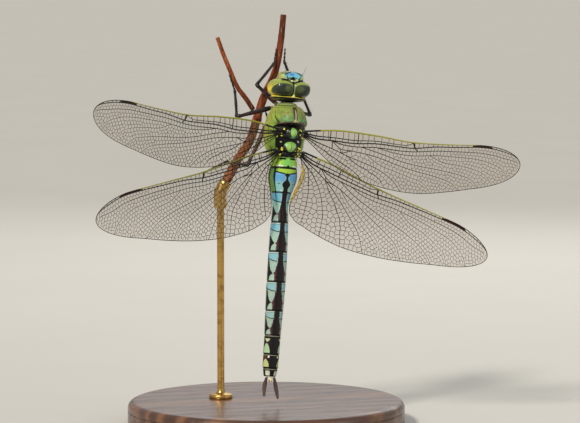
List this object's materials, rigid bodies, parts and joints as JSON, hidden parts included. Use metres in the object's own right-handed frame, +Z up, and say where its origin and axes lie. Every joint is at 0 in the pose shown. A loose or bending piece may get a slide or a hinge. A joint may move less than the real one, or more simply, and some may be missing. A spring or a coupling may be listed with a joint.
{
  "type": "dragonfly display model",
  "caption": "Life-size still model of a female emperor dragonfly, wings spread, hanging head up from a cut stem held over a round base by a slim rod.",
  "frame": {"origin": "middle of the flat underside of the stand's round base", "axes": "+Z up, from the base towards the dragonfly's head; -Y the side its back faces; +X its right, along the wingspan"},
  "size_m": [0.1053, 0.066, 0.0977],
  "materials": {
    "eye": "glossy, green with a dark upper patch and a yellow rear edge",
    "head_rim": "satin cuticle, yellow rim and black rear",
    "face": "satin cuticle, yellow green with a blue top shelf and a black mark",
    "thorax_green": "satin cuticle, apple green with fine pale hair",
    "thorax_plate": "satin cuticle, green shields in dark membrane",
    "abdomen_marked": "satin cuticle, blue to grey green with a brown-black pattern",
    "tail_end": "satin dark brown cuticle",
    "leg_cuticle": "satin black cuticle, reddish brown on the thighs",
    "wing_membrane": "clear glossy membrane with a smoky amber tint",
    "wing_vein": "dark brown veins, leading vein yellow green",
    "perch_bark": "dry reddish brown stem with fine ridges",
    "stand_wood": "turned dark hardwood, satin",
    "stand_brass": "brushed brass, satin"
  },
  "bodies": {
    "root": {"abdomen_1": "thorax_green", "abdomen_10": "abdomen_marked", "abdomen_2": "abdomen_marked", "abdomen_3": "abdomen_marked", "abdomen_4": "abdomen_marked", "abdomen_5": "abdomen_marked", "abdomen_6": "abdomen_marked", "abdomen_7": "abdomen_marked", "abdomen_8": "abdomen_marked", "abdomen_9": "abdomen_marked", "antenna_left": "leg_cuticle", "antenna_right": "leg_cuticle", "cercus_left": "tail_end", "cercus_right": "tail_end", "eye_left": "eye", "eye_right": "eye", "femur_fore_left": "leg_cuticle", "femur_fore_right": "leg_cuticle", "femur_hind_left": "leg_cuticle", "femur_hind_right": "leg_cuticle", "femur_middle_left": "leg_cuticle", "femur_middle_right": "leg_cuticle", "forewing_left": "wing_membrane", "forewing_right": "wing_membrane", "head_capsule": "head_rim", "head_clypeus": "face", "head_frons": "face", "head_labium": "face", "head_labrum": "face", "head_vertex": "face", "hindwing_left": "wing_membrane", "hindwing_right": "wing_membrane", "perch_branch": "perch_bark", "perch_stem": "perch_bark", "prothorax": "thorax_green", "stand_base": "stand_wood", "stand_collar": "stand_brass", "stand_rod": "stand_brass", "tail_plate": "tail_end", "tarsus_fore_left": "leg_cuticle", "tarsus_fore_right": "leg_cuticle", "tarsus_hind_left": "leg_cuticle", "tarsus_hind_right": "leg_cuticle", "tarsus_middle_left": "leg_cuticle", "tarsus_middle_right": "leg_cuticle", "thorax": "thorax_green", "thorax_plate_fore": "thorax_plate", "thorax_plate_hind": "thorax_plate", "tibia_fore_left": "leg_cuticle", "tibia_fore_right": "leg_cuticle", "tibia_hind_left": "leg_cuticle", "tibia_hind_right": "leg_cuticle", "tibia_middle_left": "leg_cuticle", "tibia_middle_right": "leg_cuticle"}
  },
  "joints": []
}
